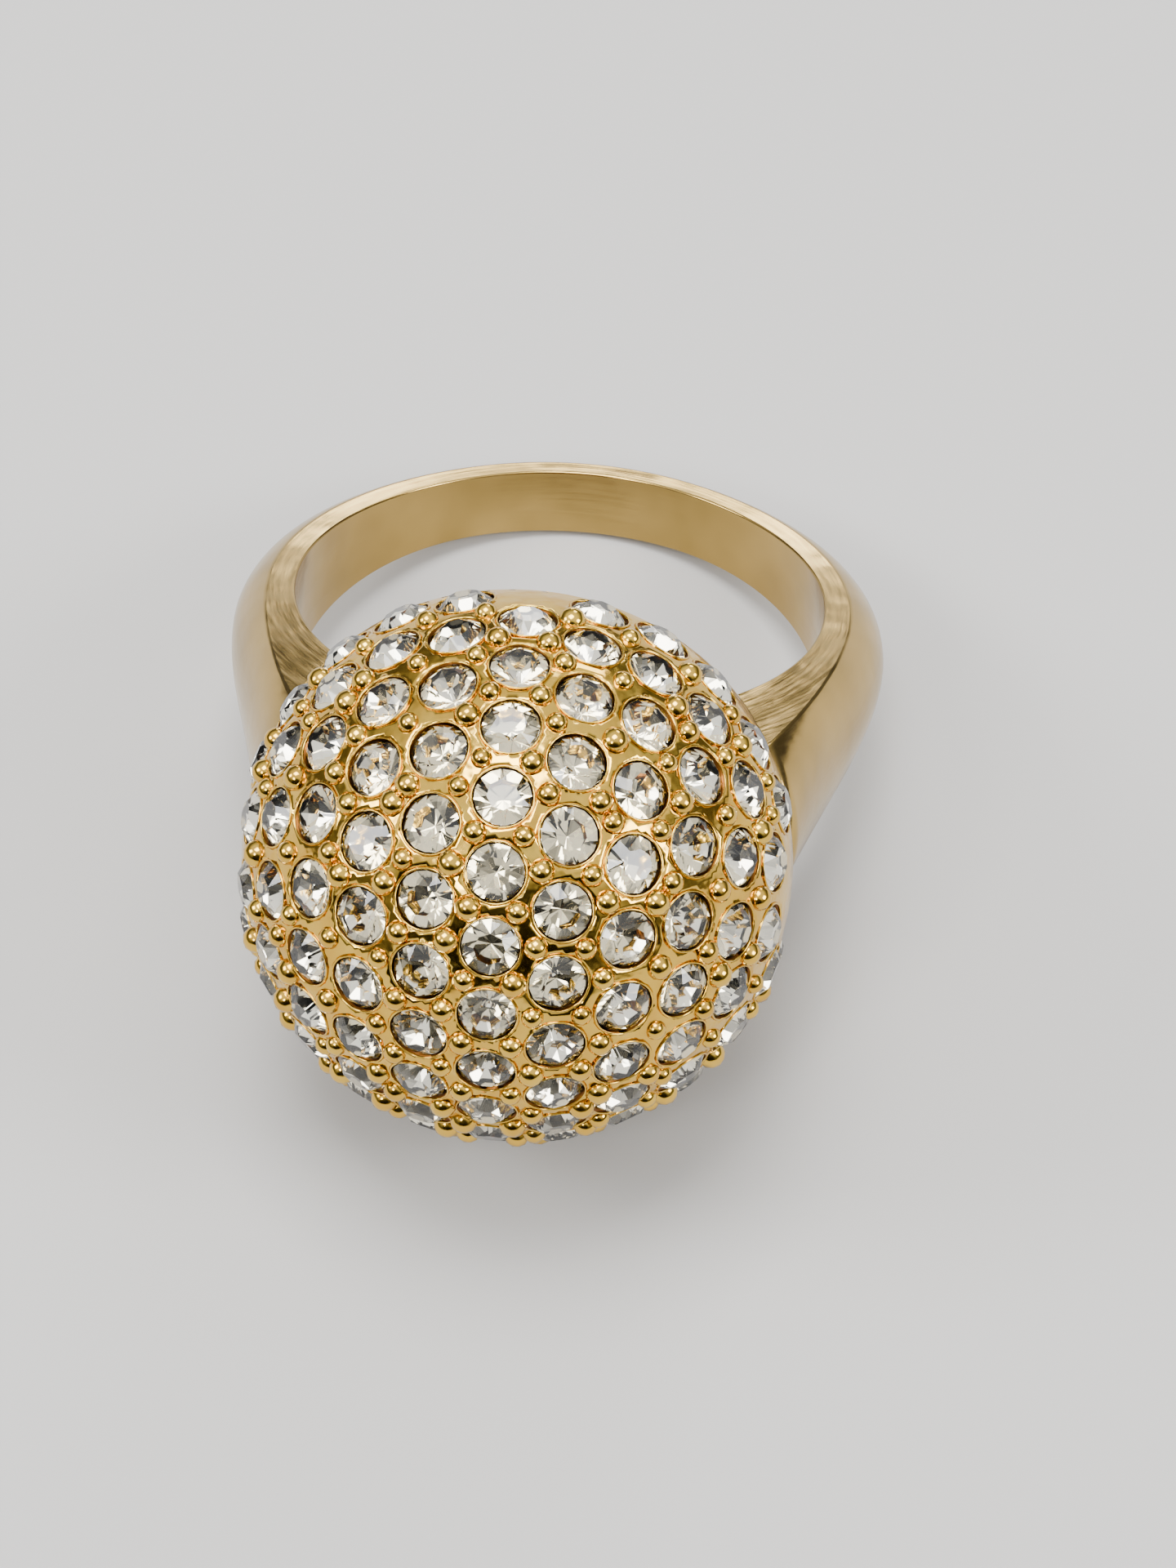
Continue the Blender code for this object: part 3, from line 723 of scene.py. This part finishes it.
def stone_pattern():
    """Make one stone: a table, three crown facets to each of its sides, a thin scalloped girdle, and a
    pointed back with a facet to each side, which are marked as foil."""
    shape = bmesh.new()
    foil = shape.faces.layers.bool.new("foil")
    table = []
    girdle = []
    lower = []
    for corner in range(STONE_SIDES):
        turn = 2 * math.pi / STONE_SIDES * corner
        table.append(shape.verts.new((STONE_TABLE_RADIUS * math.cos(turn),
                                      STONE_TABLE_RADIUS * math.sin(turn), STONE_CROWN_HEIGHT)))
    around = 2 * STONE_SIDES
    for corner in range(around):
        turn = 2 * math.pi / around * corner
        side = Vector((STONE_RADIUS * math.cos(turn), STONE_RADIUS * math.sin(turn), 0.0))
        scallop = STONE_GIRDLE_SCALLOP if corner % 2 else -STONE_GIRDLE_SCALLOP
        girdle.append(shape.verts.new(side))
        lower.append(shape.verts.new(side + Vector((0, 0, scallop - STONE_GIRDLE_HEIGHT))))
    culet = shape.verts.new((0, 0, -STONE_GIRDLE_HEIGHT - STONE_PAVILION_DEPTH))
    shape.faces.new(table)
    for corner in range(STONE_SIDES):
        after = table[(corner + 1) % STONE_SIDES]
        middle = 2 * corner
        right = girdle[middle + 1]
        left = girdle[middle - 1]
        shape.faces.new((table[corner], left, girdle[middle]))
        shape.faces.new((table[corner], girdle[middle], right))
        shape.faces.new((table[corner], right, after))
        back = shape.faces.new((culet, lower[middle], lower[middle + 1], lower[(middle + 2) % around]))
        back[foil] = True
    for corner in range(around):
        following = (corner + 1) % around
        shape.faces.new((girdle[corner], lower[corner], lower[following], girdle[following]))
    bmesh.ops.recalc_face_normals(shape, faces=shape.faces)
    return link_object("stone_pattern", finish_mesh(shape, "stone_pattern"))


def stone_row_tree():
    """One row of stones on a circle of latitude of the ball, each turned and tipped a little by hand."""
    tree, given = new_tree("stone_row", {"Stone": "Object", "Latitude": "Float", "First": "Float",
                                         "Step": "Float", "Count": "Int", "Level": "Float",
                                         "Tip": "Vector", "Turn": "Vector", "Seed": "Int",
                                         "Glass": "Material", "Foil": "Material"})
    points = add_node(tree, "GeometryNodePoints", inputs={"Count": given["Count"]})
    index = add_node(tree, "GeometryNodeInputIndex")
    longitude = add_node(tree, "ShaderNodeMath", {"operation": "MULTIPLY_ADD"},
                         {0: index, 1: given["Step"], 2: given["First"]})
    back = add_node(tree, "ShaderNodeMath", {"operation": "MULTIPLY"}, {0: longitude, 1: -1.0})
    across = add_node(tree, "ShaderNodeMath", {"operation": "SINE"}, {0: given["Latitude"]})
    up = add_node(tree, "ShaderNodeMath", {"operation": "COSINE"}, {0: given["Latitude"]})
    start = add_node(tree, "ShaderNodeCombineXYZ", inputs={"X": across, "Z": up})
    way = add_node(tree, "ShaderNodeVectorRotate", {"rotation_type": "X_AXIS"},
                   {"Vector": start, "Angle": back})
    place = add_node(tree, "ShaderNodeVectorMath", {"operation": "SCALE"}, {0: way, "Scale": given["Level"]})
    set_down = add_node(tree, "GeometryNodeSetPosition", inputs={"Geometry": points, "Position": place})

    # Each stands on the ball, leaning and turned as chance has it.
    here = add_node(tree, "GeometryNodeInputPosition")
    stand = add_node(tree, "FunctionNodeAlignRotationToVector", {"axis": "Z"}, {"Vector": here})
    by_hand = add_node(tree, "FunctionNodeRandomValue", {"data_type": "FLOAT_VECTOR"},
                       {0: given["Tip"], 1: given["Turn"], "Seed": given["Seed"]})
    tipped = add_node(tree, "FunctionNodeEulerToRotation", inputs={0: by_hand})
    turned = add_node(tree, "FunctionNodeRotateRotation", {"rotation_space": "LOCAL"}, {0: stand, 1: tipped})
    stone = add_node(tree, "GeometryNodeObjectInfo", inputs={"Object": given["Stone"]})
    copies = add_node(tree, "GeometryNodeInstanceOnPoints", inputs={"Points": set_down, "Rotation": turned,
                                                                    "Instance": stone.outputs["Geometry"]})
    marked = add_node(tree, "GeometryNodeInputNamedAttribute", {"data_type": "BOOLEAN"}, {"Name": "foil"})
    end_tree(tree, copies, (given["Glass"], True), (given["Foil"], marked))
    return tree


def make_stones(matrix, rows, glass, foil):
    """Set each row's stones as one piece, which stands for the row's solids where there are any."""
    pattern = stone_pattern()
    tree = stone_row_tree()
    for row, (latitude, first, step, count) in rows.items():
        side = "centre" if row == 0 else "left" if row < 0 else "right"
        name = f"stones_{side}_{abs(row)}" if row else "stones_centre"
        piece = run_tree(name, tree, {"Stone": pattern, "Latitude": latitude, "First": first, "Step": step,
                                      "Count": count, "Level": GIRDLE_LEVEL,
                                      "Tip": (-STONE_TIP, -STONE_TIP, 0.0),
                                      "Turn": (STONE_TIP, STONE_TIP, 2 * math.pi),
                                      "Seed": STONE_SEED + row, "Glass": glass, "Foil": foil}, matrix)
        solid = count if abs(row) <= LAST_SOLID_ROW else 0
        nodes = [f"stone_{side}_row_{number:02d}" for number in range(1, solid + 1)]
        finish_piece(piece, "foiled_glass", *nodes)
    bpy.data.objects.remove(pattern, do_unlink=True)


# Studio.

def make_floor():
    """Lay the pale card."""
    shape = bmesh.new()
    bmesh.ops.create_grid(shape, x_segments=1, y_segments=1, size=FLOOR_HALF_WIDTH)
    floor = link_object("floor", finish_mesh(shape, "floor"))
    floor.data.materials.append(pale_card())


def make_sky():
    """Make the studio's walls and ceiling: bright overhead, dim at the sides, dark behind the viewer."""
    world = bpy.data.worlds.new("studio")
    world.use_nodes = True
    tree = world.node_tree
    sky = tree.nodes["Background"]
    way = add_node(tree, "ShaderNodeTexCoord").outputs["Generated"]
    viewer = add_node(tree, "ShaderNodeVectorMath", {"operation": "DOT_PRODUCT"}, {0: way, 1: DARK_SIDE_WAY})
    shade = add_node(tree, "ShaderNodeMapRange", {"interpolation_type": "SMOOTHSTEP"},
                     {"Value": viewer.outputs["Value"], "From Min": DARK_SIDE_EDGE[0],
                      "From Max": DARK_SIDE_EDGE[1], "To Min": 1.0, "To Max": DARK_SIDE_LIGHT})
    height = add_node(tree, "ShaderNodeSeparateXYZ", inputs={0: way})
    ceiling = add_node(tree, "ShaderNodeMapRange", {"interpolation_type": "SMOOTHSTEP"},
                       {"Value": height.outputs["Z"], "From Min": CEILING_EDGE[0],
                        "From Max": CEILING_EDGE[1], "To Min": WALL_LIGHT, "To Max": CEILING_LIGHT})
    strength = add_node(tree, "ShaderNodeMath", {"operation": "MULTIPLY"}, {0: shade, 1: ceiling})
    tree.links.new(strength.outputs["Value"], sky.inputs["Strength"])
    sky.inputs["Color"].default_value = linear("F4F6FA")
    bpy.context.scene.world = world


def make_lights():
    """Hang the soft boxes, all turned to the ring."""
    for name, place, width, radiance in SOFT_BOXES:
        light = bpy.data.lights.new(name, "AREA")
        light.size = width
        light.energy = radiance * math.pi * width**2
        lamp = link_object(name, light)
        lamp.location = place
        lamp.rotation_euler = (-Vector(place)).to_track_quat("-Z", "Y").to_euler()


def make_camera():
    """Set the camera up, with everything in focus."""
    camera = bpy.data.cameras.new("camera")
    camera.lens = CAMERA_LENS
    camera.sensor_width = SENSOR
    camera.clip_start = CLIP_START
    holder = link_object("camera", camera)
    holder.location = CAMERA_PLACE
    aim = (Vector(CAMERA_AIM) - Vector(CAMERA_PLACE)).to_track_quat("-Z", "Y")
    holder.rotation_euler = (aim.to_matrix() @ Matrix.Rotation(CAMERA_ROLL, 3, "Z")).to_euler()
    bpy.context.scene.camera = holder


ring_matrix, dome_matrix = ring_and_dome_frames()
stone_places = stone_rows()
make_camera()
make_floor()
make_sky()
make_lights()
make_shank(ring_matrix, polished_gold(ring_matrix))
# The seats' walls are painted dark brown as shade.
make_dome(dome_matrix, stone_places, tumbled_gold(dome_matrix), painted_shade_seat_gold(dome_matrix))
make_stones(dome_matrix, stone_places, lead_glass(), silver_foil())
